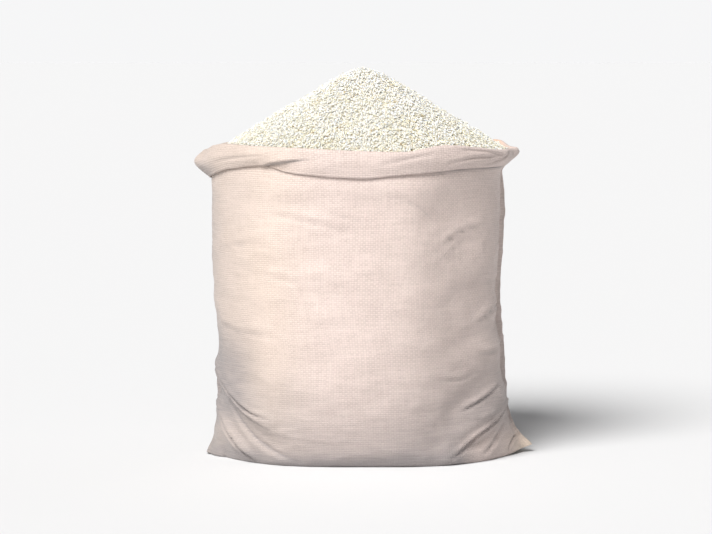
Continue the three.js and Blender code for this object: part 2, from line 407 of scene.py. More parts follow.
def outward(points):
    """Unit normals of the rows of points, away from the grain."""
    around = np.roll(points, -1, axis=1) - np.roll(points, 1, axis=1)
    up = np.gradient(points, axis=0)
    normal = np.cross(up, around)
    return normal / np.maximum(np.linalg.norm(normal, axis=2, keepdims=True), 1e-9)


wall = wall_point(ANGLES[None, :], HEIGHTS[:, None])
rise = soft_rise(wall)
side_ridge = fade(wall[..., 1], 5) * smooth_step(wall[..., 2], 30, 90)
fine_rise = SMALL_DENT_LIFT * dents(wall, *SMALL_DENTS) + CRUMPLE_LIFT * wrinkles(wall)
fine_rise += SIDE_RIDGE * side_ridge
rise += fine_rise * (1 - smooth_step(wall[..., 2], *FINE_END))
wall_climb = np.broadcast_to(CLIMBS[:, None], rise.shape)
creased = all_creases(CREASES, wall_climb, np.full(rise.shape, True), climb)
creased *= smooth_step(np.abs(wall[..., 1]), 0, 5)
rise = (rise + creased) * smooth_step(CLIMBS, 1, 11)[:, None]
ears = with_ears(wall)
wall = ears + outward(ears) * rise[..., None]
wall[..., 2] = np.maximum(wall[..., 2], 0)

# The base: from the bottom seam, which runs from ear to ear under the grain, out to the base edge.
seam_x = np.interp(ACROSS, [ACROSS.min(), ACROSS.max()], [ears[0, :, 0].min(), ears[0, :, 0].max()])
seam = together(seam_x, 0, 0)
for side, ear, body in EARS:
    out = out_on_ear(seam_x, side, ear, body)
    seam[:, 1] += ear["swing"] * out
    seam[:, 2] += ear["lift"] * out**EAR_CURL
share = np.arange(BASE_ROWS) / BASE_ROWS
base = seam[None] * (1 - share[:, None, None]) + wall[:1] * share[:, None, None]

# The mouth. Its rim and its hem rise and fall round the sack: rows of [x, z] along the front from
# the left crease to the right one, and then along the back.
FRONT_RIM = [(-1, 380), (-0.95, 387), (-0.86, 390), (-0.7, 388.5), (-0.4, 386.5), (0.04, 383),
             (0.3, 382), (0.58, 389.5), (0.8, 386), (0.93, 382), (1, 381.5)]
BACK_RIM = [(-1, 380), (-0.9, 386), (-0.6, 390), (-0.3, 392.5), (0.15, 389), (0.5, 392.5),
            (0.8, 391.5), (0.97, 390), (1, 382.5)]
FRONT_HEM = [(-1, 349), (-0.97, 351), (-0.92, 355.5), (-0.84, 360.5), (-0.62, 365.5), (-0.55, 363),
             (-0.47, 358.5), (-0.34, 355.5), (-0.14, 352.5), (0.04, 351), (0.19, 353.4),
             (0.54, 358.5), (0.72, 361.5), (1, 362)]
BACK_HEM = [(-1, 349), (-0.9, 356), (-0.5, 362), (0, 355), (0.45, 361), (0.85, 358), (1, 362)]
TURN_RADIUS = 3.4
HEM_STAND = 3.8  # how far the hem stands off the wall
HEM_RADIUS = 1.1
HEM_TUCK = 7  # the raw edge is turned up behind the hem this far
TUCK_SHARE = 0.8  # or by this share of the cuff, where it is short
CUFF_BULGE = 1.6
CUFF_DENTS = (34, 14, 21.3)
# The mouth's side corners. The left one droops as a fat rounded lobe, and the right one is a flat
# pointed flap: reach, thickness from the crease, the heights it starts or is widest at, the change
# of the hem there, and how much more the cuff bulges and how much closer its hem lies.
LEFT_CORNER = {"reach": 10, "thick": 26, "widest": 366, "tall": 14, "hem": -4, "spread": 30, "bulge": 5.5,
               "close": 2.6}
RIGHT_CORNER = {"reach": 15, "thick": 13, "start": 352, "full": 374, "hem": 12, "spread": 10}
BEHIND_ROWS, TURN_ROWS, CUFF_ROWS, HEM_ROWS, TUCK_ROWS = 12, 8, 24, 4, 2
BEHIND_CROWDING = 1.5  # power at which the rows behind the cuff spread out upwards

reach_across = plan_share(ANGLES)[0]


def round_the_mouth(front, back):
    """A height at each column from its rows along the front and the back."""
    levels = [curve_through(*np.transpose(rows), reach_across) for rows in (front, back)]
    return np.where(ON_FRONT, *levels)


from_crease = wall_point(ANGLES, np.full(COLUMNS, RIM))[:, 1]
on_left = reach_across < 0
on_right = reach_across > 0
rim = round_the_mouth(FRONT_RIM, BACK_RIM)
hem = round_the_mouth(FRONT_HEM, BACK_HEM)
hem += LEFT_CORNER["hem"] * fade(from_crease, LEFT_CORNER["spread"]) * on_left
hem += RIGHT_CORNER["hem"] * fade(from_crease, RIGHT_CORNER["spread"], 1.4) * on_right
bulge = CUFF_BULGE + LEFT_CORNER["bulge"] * fade(from_crease, 2.5 * LEFT_CORNER["spread"]) * on_left
hem_stand = HEM_STAND - LEFT_CORNER["close"] * fade(from_crease, LEFT_CORNER["spread"]) * on_left


def flared(points):
    """Opens the side corners of the mouth out: a lobe on the left, a flap on the right."""
    points = points.copy()
    y, z = points[..., 1], points[..., 2]
    lobe = fade(y, LEFT_CORNER["thick"], 1.8) * fade(z - LEFT_CORNER["widest"], LEFT_CORNER["tall"])
    flap = pinched(y, RIGHT_CORNER["thick"])
    flap *= smooth_step(z, RIGHT_CORNER["start"], RIGHT_CORNER["full"])
    points[..., 0] += RIGHT_CORNER["reach"] * flap * on_right - LEFT_CORNER["reach"] * lobe * on_left
    return points


def mouth_rows():
    """Rows up behind the cuff, over the turn, down the cuff, round its hem and up behind it."""
    top, low = rim - TURN_RADIUS, hem + HEM_RADIUS
    room = np.minimum(HEM_TUCK, TUCK_SHARE * (top - low))
    at_wall = np.zeros(COLUMNS)
    parts = [
        (BEHIND_ROWS, lambda t: (at_wall, BODY_TOP + (top - BODY_TOP) * t**BEHIND_CROWDING)),
        (TURN_ROWS, lambda t: (at_wall + TURN_RADIUS * (1 - math.cos(math.pi * t)),
                               top + TURN_RADIUS * math.sin(math.pi * t))),
        (CUFF_ROWS, lambda t: (2 * TURN_RADIUS * (1 - t) + hem_stand * t + bulge * math.sin(math.pi * t),
                               top + (low - top) * t)),
        (HEM_ROWS, lambda t: (hem_stand - HEM_RADIUS * (1 - math.cos(math.pi * t)),
                              low - HEM_RADIUS * math.sin(math.pi * t))),
        (TUCK_ROWS, lambda t: (hem_stand - 2 * HEM_RADIUS, low + room * t)),
    ]
    rows = [part(k / count) for count, part in parts for k in range(1, count + 1)]
    return np.array(rows).transpose(1, 0, 2)


stand, height = mouth_rows()
mouth_wall = wall_point(np.broadcast_to(ANGLES, height.shape), np.minimum(height, RIM))
mouth_wall = flared(mouth_wall)
tangent = np.roll(mouth_wall, -1, axis=1) - np.roll(mouth_wall, 1, axis=1)
away = together(-tangent[..., 1], tangent[..., 0])
away /= np.linalg.norm(away, axis=-1, keepdims=True)
mouth = mouth_wall.copy()
mouth[..., 2] = height
ripple = soft_rise(mouth_wall) + smooth_step(stand, 2, 6) * dents(mouth, *CUFF_DENTS)

# Folds of the cuff itself: an overlap that fades to the right, and soft swells.
CUFF_OVERLAP = [(-124, 363), (-107, 368.5), (-90, 371.5), (-58, 375)]
OVERLAP_DEPTH = 3.4
OVERLAP_EDGE = (-1.2, 0.6)  # the step down lies between these distances from its line
OVERLAP_SPREAD = 18  # and the cloth comes back out over this distance
OVERLAP_LIP = 1.6
LIP_SPREAD = 5
CUFF_CREASES = {-1: [
    ([(22, 367), (52, 374), (84, 380)], 5.0, 1.0, 0.5, 1.2),
    ([(100, 368), (132, 374), (160, 375)], 3.6, 1.4, 0.8, 1.6),
    ([(146, 366), (162, 371), (170, 380)], 3.0, 1.4, 0.8, 1.8),
    ([(118, 384), (146, 380), (166, 373)], 3.0, 1.2, 0.8, 1.6),
    ([(-176, 368), (-150, 374), (-120, 377)], 4.0, 0.8, 0.4, 0.9),
], 1: [
    ([(-120, 368), (-70, 376), (-20, 378)], 4.5, 1.0, 0.5, 1.2),
    ([(60, 366), (104, 374), (150, 375)], 4.5, 1.0, 0.5, 1.2),
]}
cuff_creased = all_creases(CUFF_CREASES, height, stand > TURN_RADIUS, np.asarray)
overlap = route_on_face(-1, CUFF_OVERLAP, np.asarray)
signed, share = along_route(np.broadcast_to(ACROSS, height.shape), height, overlap)
inside = ON_FRONT & (ACROSS > overlap[0, 0]) & (stand > TURN_RADIUS)
below_it = (1 - smooth_step(signed, *OVERLAP_EDGE)) * fade(np.minimum(signed, 0), OVERLAP_SPREAD)
lapped = inside * (1 - smooth_step(share, 0.5, 1))
ripple += cuff_creased - OVERLAP_DEPTH * below_it * lapped
ripple += OVERLAP_LIP * fade(np.maximum(signed, 0), LIP_SPREAD) * (signed > 0) * lapped
lap_line = fade(signed + 0.8, 1.5) * inside * (1 - smooth_step(share, 0.75, 1))

mouth[..., :2] += away * (stand + ripple)[..., None]

sheet = np.concatenate([base, wall, mouth])
ROWS = len(sheet)

# How far each row is along the cloth, measured at the middle of the front.
ALONG = run_along(sheet[:, QUARTER_COLUMNS])


def ring_quads(index):
    """Quads between rings of vertices, given by their numbers."""
    right = np.roll(index, -1, axis=1)
    return np.stack([index[:-1], index[1:], right[1:], right[:-1]], axis=-1).reshape(-1, 4)


def sheet_faces():
    """Quads of the sheet. Front and back share the vertices of the bottom seam."""
    index = np.arange(ROWS * COLUMNS).reshape(ROWS, COLUMNS)
    partner = (COLUMNS - np.arange(COLUMNS)) % COLUMNS
    index[0] = np.minimum(index[0], index[0][partner])
    return ring_quads(index)


def mesh_object(name, points, faces, material):
    """A smooth mesh object from points in millimetres and faces of equal size."""
    mesh = bpy.data.meshes.new(name)
    mesh.vertices.add(len(points))
    mesh.vertices.foreach_set("co", (points * MM).astype(np.float32).ravel())
    mesh.loops.add(faces.size)
    mesh.loops.foreach_set("vertex_index", faces.astype(np.int32).ravel())
    mesh.polygons.add(len(faces))
    mesh.polygons.foreach_set("loop_start", np.arange(len(faces), dtype=np.int32) * faces.shape[1])
    mesh.polygons.foreach_set("use_smooth", np.ones(len(faces), dtype=bool))
    mesh.update(calc_edges=True)
    mesh.materials.append(material)
    made = bpy.data.objects.new(name, mesh)
    scene.collection.objects.link(made)
    return made


def add_attribute(piece, name, vectors):
    """Keeps a vector at each point of the mesh, for its material to read."""
    attribute = piece.data.attributes.new(name, "FLOAT_VECTOR", "POINT")
    attribute.data.foreach_set("vector", np.asarray(vectors, np.float32).ravel())


def add_uv(piece, corners):
    """Lays the mesh out flat, one pair of numbers for each corner of each face."""
    layer = piece.data.uv_layers.new(name="OFBake")
    layer.data.foreach_set("uv", np.asarray(corners, np.float32).ravel())


class Nodes:
    """A short way to write the nodes of a material or of the world."""

    def __init__(self, owner, shader="Principled BSDF"):
        owner.use_nodes = True
        self.owner, self.tree = owner, owner.node_tree
        self.shader = self.tree.nodes[shader]

    def feed(self, socket, source):
        """Links a socket to another node, or sets it to a plain value."""
        if isinstance(source, bpy.types.NodeSocket):
            self.tree.links.new(source, socket)
        else:
            socket.default_value = source

    def add(self, kind, inputs=None, **settings):
        made = self.tree.nodes.new(kind)
        for key, value in settings.items():
            setattr(made, key, value)
        for socket, source in (inputs or {}).items():
            self.feed(made.inputs[socket], source)
        return made

    def finish(self, inputs):
        """Feeds the shader and gives back the material or the world."""
        for socket, source in inputs.items():
            self.feed(self.shader.inputs[socket], source)
        return self.owner

    def math(self, operation, first, second=0):
        return self.add("ShaderNodeMath", {0: first, 1: second}, operation=operation).outputs[0]

    def attribute(self, name):
        made = self.add("ShaderNodeAttribute", attribute_name=name)
        return self.add("ShaderNodeSeparateXYZ", {0: made.outputs["Vector"]}).outputs

    def pair(self, first, second):
        return self.add("ShaderNodeCombineXYZ", {0: first, 1: second}).outputs[0]

    def noise(self, size, detail, vector):
        inputs = {"Scale": 1 / size, "Detail": detail, "Vector": vector}
        return self.add("ShaderNodeTexNoise", inputs).outputs["Fac"]

    def mix(self, share, first, second):
        inputs = {"Factor": share, "A": first, "B": second}
        return self.add("ShaderNodeMix", inputs, data_type="RGBA").outputs["Result"]

    def between(self, value, low, high):
        inputs = {"Value": value, "To Min": low, "To Max": high}
        return self.add("ShaderNodeMapRange", inputs).outputs["Result"]

    def bump(self, height, distance, strength, under=None):
        made = self.add("ShaderNodeBump", {"Height": height, "Distance": distance, "Strength": strength})
        if under is not None:
            self.feed(made.inputs["Normal"], under)
        return made.outputs["Normal"]


def linear(red, green, blue):
    """A colour as seen, 0 to 255, as the shader wants it."""
    parts = [c / 255 for c in (red, green, blue)]
    return (*[c / 12.92 if c < 0.04045 else ((c + 0.055) / 1.055) ** 2.4 for c in parts], 1)


# Plain weave of flat tapes: warp tapes run up the sack, weft tapes round it.
WARP_PITCH = 3.1
WEFT_PITCH = 2.4
CLOTH_COLOUR = linear(223, 206, 199)
CLOTH_DULL = linear(190, 173, 166)
CLOTH_AGED = linear(214, 196, 164)
# Colour that the painted shade darkens the cloth towards.
CLOTH_PAINTED_SHADE = linear(140, 134, 134)
CLOTH_LINING = linear(224, 180, 146)
WANDER, WANDER_SIZE = 1.6, 0.03  # how far the tapes stray, in tapes, and over what length in metres
CLOUD_SHADE, TAPE_SHADE, WEFT_STREAKS, WARP_STREAKS, GAP_SHADE, WARP_PAINTED_SHEEN = 0.5, 0.26, 0.7, 0.5, 0.34, 0.18


def woven_cloth():
    """Woven tape with a sheen, each tape its own shade, aged where it is worn, warp tapes painted lighter
    as a painted sheen, and darkened by painted shade where the sack falls into shade.
    """
    n = Nodes(bpy.data.materials.new("woven_cloth"))
    across, along, _ = n.attribute("cloth")
    aged, painted_shade, lining = n.attribute("wear_and_shade")
    warp = n.math("DIVIDE", across, WARP_PITCH * MM)
    weft = n.math("DIVIDE", along, WEFT_PITCH * MM)
    # Tapes wander a little, so the weave is not a perfect grid.
    place = n.add("ShaderNodeTexCoord").outputs["Object"]
    wander = n.math("MULTIPLY", n.math("SUBTRACT", n.noise(WANDER_SIZE, 3, place), 0.5), WANDER)
    warp = n.math("ADD", warp, wander)
    weft = n.math("ADD", weft, wander)
    waves = [n.math("SINE", n.math("MULTIPLY", tapes, math.pi)) for tapes in (warp, weft)]
    wave = n.math("MULTIPLY", *waves)
    crown = n.math("POWER", n.math("ABSOLUTE", wave), 0.4)
    warp_up = n.between(wave, -0.5, 1.5)
    # Each tape has its own shade, and streaks that run along it.
    tape_of = n.pair(n.math("MULTIPLY", n.math("FLOOR", warp), warp_up), n.math("FLOOR", weft))
    tape = n.add("ShaderNodeTexWhiteNoise", {"Vector": tape_of}, noise_dimensions="2D")
    weft_streak = n.noise(1, 2, n.pair(n.math("MULTIPLY", warp, 0.09), weft))
    warp_streak = n.noise(1, 2, n.pair(warp, n.math("MULTIPLY", weft, 0.07)))
    cloud = n.noise(0.07, 4, place)
    shade = n.math("MULTIPLY", n.math("SUBTRACT", cloud, 0.3), CLOUD_SHADE)
    # Warp tapes come out lighter than weft tapes: a painted sheen for how they catch the light.
    for part, strength in ((tape.outputs["Value"], TAPE_SHADE),
                           (n.math("SUBTRACT", weft_streak, 0.5), WEFT_STREAKS),
                           (n.math("SUBTRACT", warp_streak, 0.5), WARP_STREAKS),
                           (n.math("SUBTRACT", 1.0, crown), GAP_SHADE),
                           (warp_up, -WARP_PAINTED_SHEEN)):
        shade = n.math("ADD", shade, n.math("MULTIPLY", part, strength))
    colour = n.mix(n.between(shade, 0.0, 1.0), CLOTH_COLOUR, CLOTH_DULL)
    colour = n.mix(n.math("MULTIPLY", aged, n.between(cloud, 0.5, 1.0)), colour, CLOTH_AGED)
    # Painted shade: the attribute's second channel darkens the cloth at the foot, the sides, the creases
    # and under the hem.
    colour = n.mix(n.math("MULTIPLY", painted_shade, n.between(weft_streak, 0.7, 1.1)), colour, CLOTH_PAINTED_SHADE)
    colour = n.mix(lining, colour, CLOTH_LINING)
    crumple = n.bump(n.noise(0.011, 4, place), 1.3 * MM, 0.7)
    return n.finish({
        "Base Color": colour, "Roughness": n.between(crown, 0.72, 0.56), "Specular IOR Level": 0.35,
        "Sheen Weight": 0.12, "Sheen Roughness": 0.5, "Normal": n.bump(crown, 0.5 * MM, 0.9, crumple)})


sack = mesh_object("woven_sack", sheet.reshape(-1, 3), sheet_faces(), woven_cloth())
add_attribute(sack, "cloth", together(ACROSS * MM, ALONG[:, None] * MM, 0))
# Wear and painted shade: floors and hands have yellowed the ears, painted shade darkens the foot, the left
# crease, the lower sides and the right side, and the lining shows peach at the corners of the mouth.
EAR_SPREAD = 24
EAR_AGED, LEFT_AGED = 0.65, 0.3
FOOT_SHADE_HAZE, FOOT_SHADE_BAND, BASE_EDGE_SHADE = 0.13, 0.56, 0.40  # painted shade at the foot, from the widest band to the lowest
# Painted shade down the left side crease and over the right side, which turns away from the lamp.
LEFT_CREASE_SHADE = 0.40
RIGHT_SIDE_SHADE = 0.15
LEFT_SHADE_LIFT, RIGHT_SHADE_LIFT = 0.25, 0.95  # the painted shade is lifted off the bottom corners by these shares
# Painted shade in the creases and the left lobe's fold, and painted shadow along the lap and under the hem.
CREASE_SHADE, CUFF_CREASE_SHADE, LAP_SHADOW, HEM_SHADOW, LOBE_SHADE = 0.6, 0.4, 0.7, 0.9, 0.5
LINING_RIGHT, LINING_LEFT = 0.85, 0.5
PAST = (900, 901)  # a run that ends past the sack
# Bands of painted shade: strength, side (-1 left), and the runs of x and z they fade in and out over.
SHADE_BANDS = [
    (0.24, -1, (104, 160, *PAST), (-2, -1, *PAST)),
    (0.46, -1, (112, 160, *PAST), (34, 84, 112, 190)),
    (0.28, 1, (80, 150, *PAST), (10, 40, 60, 130)),
    (0.16, -1, (40, 100, 114, 146), (20, 50, 80, 150)),
]


def band(value, low, full, fading, high):
    """0 up to low, 1 from full to fading, and 0 again from high."""
    return smooth_step(value, low, full) * (1 - smooth_step(value, fading, high))


x, y, z = sheet[..., 0], sheet[..., 1], sheet[..., 2]
wear_and_shade = np.zeros(sheet.shape)
at_ear = fade(np.minimum(np.abs(x - RIGHT_HALF), np.abs(x + LEFT_HALF)), EAR_SPREAD) * fade(z, EAR_TALL)
wear_and_shade[..., 0] = EAR_AGED * at_ear + LEFT_AGED * smooth_step(-x, 30, 150)
# Painted shade: darker towards the foot, down the left crease, in bands on the lower sides and over the
# right side.
painted_body_shade = FOOT_SHADE_HAZE * (1 - smooth_step(z, 60, 240)) + FOOT_SHADE_BAND * fade(z, 66, 1.6) + BASE_EDGE_SHADE * fade(z, 14)
painted_body_shade += LEFT_CREASE_SHADE * fade(y, 62) * (x < 0) * smooth_step(BODY_TOP - z, 0, 30)
for strength, side, run_of_x, run_of_z in SHADE_BANDS:
    painted_body_shade += strength * band(side * x, *run_of_x) * band(z, *run_of_z)
painted_body_shade += RIGHT_SIDE_SHADE * smooth_step(x, -20, 70) * (1 - 0.6 * smooth_step(z, 90, 320))
# The painted shade is lifted again at the bottom corners, lightening them.
shade_lifted = LEFT_SHADE_LIFT * smooth_step(-x, 130, 180) + RIGHT_SHADE_LIFT * smooth_step(x, 104, 146)
shade_lifted *= fade(z, 46, 3) * (0.75 + 0.25 * smooth_step(z, 8, 24))
wear_and_shade[..., 1] = painted_body_shade * (1 - shade_lifted) * (1 - 0.35 * at_ear)
# Painted shade darkens the creases and the left lobe's fold, and painted shadow runs along the lap and on
# the wall under the hem.
mouth_start = ROWS - len(mouth)
wear_and_shade[BASE_ROWS:mouth_start, :, 1] += CREASE_SHADE * np.clip(-creased / 3, 0, 1)
wear_and_shade[mouth_start:, :, 1] += CUFF_CREASE_SHADE * np.clip(-cuff_creased / 2, 0, 1) + LAP_SHADOW * lap_line
row = np.arange(ROWS)[:, None]
on_wall = row < mouth_start + BEHIND_ROWS
wear_and_shade[..., 1] += HEM_SHADOW * on_wall * fade(z - hem + 0.5, 2.4) * smooth_step(x, 60, 120)
at_lobe = smooth_step(-x, 178, 198) * (1 - smooth_step(z, 352, 374))
wear_and_shade[mouth_start:, :, 1] += LOBE_SHADE * at_lobe[mouth_start:]
at_right = fade(x - 0.775 * RIGHT_HALF, 14) * smooth_step(y, -4, 6)
at_left = fade(x + 0.86 * LEFT_HALF, 18) * smooth_step(-y, -60, -20)
lining = np.maximum(LINING_RIGHT * at_right, LINING_LEFT * at_left) * smooth_step(z, 370, 380)
wear_and_shade[..., 2] = lining * (row >= mouth_start) * (row < mouth_start + BEHIND_ROWS + 3)
add_attribute(sack, "wear_and_shade", np.clip(wear_and_shade, 0, 1))
u = np.append(np.arange(COLUMNS), COLUMNS) / COLUMNS
v = ALONG / ALONG[-1]
left, low = u[:-1][None, :], v[:-1][:, None]
right, high = u[1:][None, :], v[1:][:, None]
corners = [(left, low), (left, high), (right, high), (right, low)]
add_uv(sack, np.stack([together(*corner) for corner in corners], axis=2))
thick = sack.modifiers.new("Thickness", "SOLIDIFY")
thick.thickness = CLOTH_THICKNESS * MM
thick.offset = -1
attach(sack, "root")
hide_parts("sack")

# --------------------------------------------------
# Grain. Polished long white rice fills the sack and is heaped above its rim as it was poured.
# A core a little smaller than the fill carries about two layers of loose grains, each kind of grain
# one joined mesh: every grain is dropped on those below it and lies as they let it.
# --------------------------------------------------
PEAK = (-1.5, 4.0, rice_high.z / MM - 4.5)  # the loose grains stand above it
PEAK_ROUND = 0.12  # blunt tip, as a share of the heap's radius
RIDGE_ROUND = math.radians(5)  # the slope that runs down to a corner rounds over this bearing
GRAIN_EDGE = {"left": 374, "right": 380.5, "front": 376, "back": 381}
GRAIN_DIP = {"across": 0.93, "wide": 0.07, "deep": 7}  # behind on the right it bares the lining
WALL_GAP = 1.4  # from the cloth to the core at the heap's foot
FILL_GAP = 15  # and lower down, clear of the deepest fold
LAYER = 4.0  # from the core to the heap's outline
FILL_LOW = 8  # the core starts this far above the floor
FILL_TALL = BODY_TOP - 20
HEAP_RINGS = 60
FILL_RINGS = 24
CORE_SIDES = 240


def heap_foot(angle, inset):
    """Where the heap meets the cloth."""
    across, deep = plan_share(angle)
    side = np.where(across > 0, GRAIN_EDGE["right"], GRAIN_EDGE["left"])
    fore = np.where(deep > 0, GRAIN_EDGE["back"], GRAIN_EDGE["front"])
    foot = wall_point(angle, np.full_like(angle, BODY_TOP), inset)
    pocket = 0.5 * RIGHT_CORNER["reach"] * pinched(foot[..., 1], RIGHT_CORNER["thick"])
    foot[..., 0] += pocket * (across > 0)
    foot[..., 2] = fore + (side - fore) * across**2
    foot[..., 2] -= GRAIN_DIP["deep"] * fade(across - GRAIN_DIP["across"], GRAIN_DIP["wide"]) * (deep > 0)
    return foot


def slides(x, y):
    """Where grain has slid down the heap or banked up, in millimetres."""
    flows = np.sin(x / 23 + 1) * np.cos(y / 19) + np.sin((x + y) / 37)
    return 0.9 * flows + 0.5 * np.sin(x / 9 + y / 13)


def heap_height(x, y):
    """Height of the heap's outline over a place in plan."""
    dx, dy = x - PEAK[0], y - PEAK[1]
    fine = np.linspace(0, 2 * math.pi, 721)
    foot = heap_foot(fine, 0.5)
    bearing = np.unwrap(np.arctan2(foot[:, 1] - PEAK[1], foot[:, 0] - PEAK[0]))
    radius = np.hypot(foot[:, 0] - PEAK[0], foot[:, 1] - PEAK[1])
    here, away = np.arctan2(dy, dx), np.hypot(dx, dy)
    level = np.interp(here, bearing, foot[:, 2], period=2 * math.pi)
    foot_share = away / np.interp(here, bearing, radius, period=2 * math.pi)
    round_by = RIDGE_ROUND * np.clip(1 - foot_share**2, 0, 1)
    turned = [here + k * round_by for k in range(-2, 3)]
    edge = sum(np.interp(t, bearing, radius, period=2 * math.pi) for t in turned) / len(turned)
    share = away / edge
    widest = math.hypot(1, PEAK_ROUND)
    rise = (widest - np.hypot(share, PEAK_ROUND)) / (widest - PEAK_ROUND)
    loose = np.clip((1 - share) * share * 4, 0, 1)
    return level + (PEAK[2] - level) * rise + slides(x, y) * loose, share


CORE_ANGLES = np.arange(CORE_SIDES) / CORE_SIDES * 2 * math.pi


def core_rings():
    """Rings of the core from its foot up inside the cloth, then up the heap towards its peak."""
    rings = []
    for k in range(FILL_RINGS + 1):
        z = FILL_LOW + FILL_TALL * k / FILL_RINGS
        rings.append(wall_point(CORE_ANGLES, np.full(CORE_SIDES, z), FILL_GAP))
    foot = heap_foot(CORE_ANGLES, WALL_GAP)
    foot[:, 2] -= LAYER
    rings.append(foot)
    for k in range(1, HEAP_RINGS):
        share = 1 - k / HEAP_RINGS
        ring = np.array(PEAK) * (1 - share) + foot * share
        ring[:, 2] = heap_height(ring[:, 0], ring[:, 1])[0] - LAYER
        rings.append(ring)
    return np.array(rings)


def capped_rings(rings, low_pole, high_pole):
    """Points and triangles of rings that run anticlockwise seen against their normals."""
    count = rings.shape[1]
    points = np.concatenate([rings.reshape(-1, 3), [low_pole, high_pole]])
    index = np.arange(rings.shape[0] * count).reshape(-1, count)
    quads, right = ring_quads(index), np.roll(index, -1, axis=1)
    low, high = len(points) - 2, len(points) - 1
    faces = [quads[:, [0, 1, 2]], quads[:, [0, 2, 3]],
             np.stack([np.full(count, low), index[0], right[0]], axis=1),
             np.stack([np.full(count, high), right[-1], index[-1]], axis=1)]
    return points, np.concatenate(faces)


def packed_grain():
    """Grain seen in the gaps between the loose grains, with a grain-sized relief: painted lighter than the
    loose grains as painted light in the gaps, and darker at each cell's edge as painted shade between
    grains.
    """
    n = Nodes(bpy.data.materials.new("packed_grain"))
    place = n.add("ShaderNodeTexCoord").outputs["Object"]
    stretch = n.add("ShaderNodeMapping", {"Vector": place, "Scale": (1.0, 0.6, 0.8)})
    inputs = {"Vector": stretch.outputs[0], "Scale": 1 / (3 * MM)}
    cells = n.add("ShaderNodeTexVoronoi", inputs, feature="F1")
    round_top = n.math("SUBTRACT", 1.0, cells.outputs["Distance"])
    # Painted light and shade: the core is lighter than the loose grains and darker at the edge of each
    # cell.
    colour = n.mix(round_top, linear(244, 239, 224), linear(252, 249, 240))
    return n.finish({"Base Color": colour, "Roughness": 0.7, "Normal": n.bump(round_top, 1.2 * MM, 0.9)})


rings = core_rings()
points, faces = capped_rings(rings, (0, 0, FILL_LOW), (PEAK[0], PEAK[1], PEAK[2] - LAYER))
core = mesh_object("packed_rice", points, faces, packed_grain())
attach(core, "root")
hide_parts("rice")

# Loose grains, dropped one by one on a map of heights.
CELL = 0.5
MAP_EDGE = 4  # room round the map
GRAINS = 17500
TRIES = 6  # a grain rolls into the lowest of so many places near by
EDGE_SHARE = 0.99  # loose grain reaches this share of the way to the cloth
BEARING_SPREAD = 0.8  # grains slide down more or less lengthwise
LENGTH_SPREAD, SLENDER_SPREAD = 0.07, 0.06
FEELERS = np.array([-0.42, -0.22, 0.0, 0.22, 0.42])  # places along a grain where it may touch
FEELER_RUN = 1.28  # between the upper two and the lower two, taken together
STEEPEST = 1.3
SEAT = 0.8  # of its radius, from what a grain touches to its middle
WINDOW = 9  # cells each way that one grain may cover

map_low = np.array([rice_low.x, rice_low.y]) / MM - MAP_EDGE
map_high = np.array([rice_high.x, rice_high.y]) / MM + MAP_EDGE
map_size = np.ceil((map_high - map_low) / CELL).astype(int)
cell_x = map_low[0] + (np.arange(map_size[0]) + 0.5) * CELL
cell_y = map_low[1] + (np.arange(map_size[1]) + 0.5) * CELL
outline, outline_share = heap_height(*np.meshgrid(cell_x, cell_y, indexing="ij"))
ground = outline - LAYER

# Kinds of grain: share of the whole, length, how slender, colour where clear, body, and roughness.
KINDS = {
    "clear_grains": (0.30, 6.9, 3.7, (232, 227, 208), (243, 239, 229), 0.44),
    "white_grains": (0.29, 6.6, 3.4, (234, 229, 214), (246, 244, 240), 0.52),
    "cream_grains": (0.27, 6.7, 3.6, (227, 216, 184), (239, 232, 212), 0.38),
    "broken_grains": (0.132, 4.0, 2.0, (231, 226, 211), (246, 243, 235), 0.42),
    "husk_specks": (0.008, 4.6, 2.3, (104, 84, 50), (168, 146, 98), 0.6),
}
chance = np.random.default_rng(20)


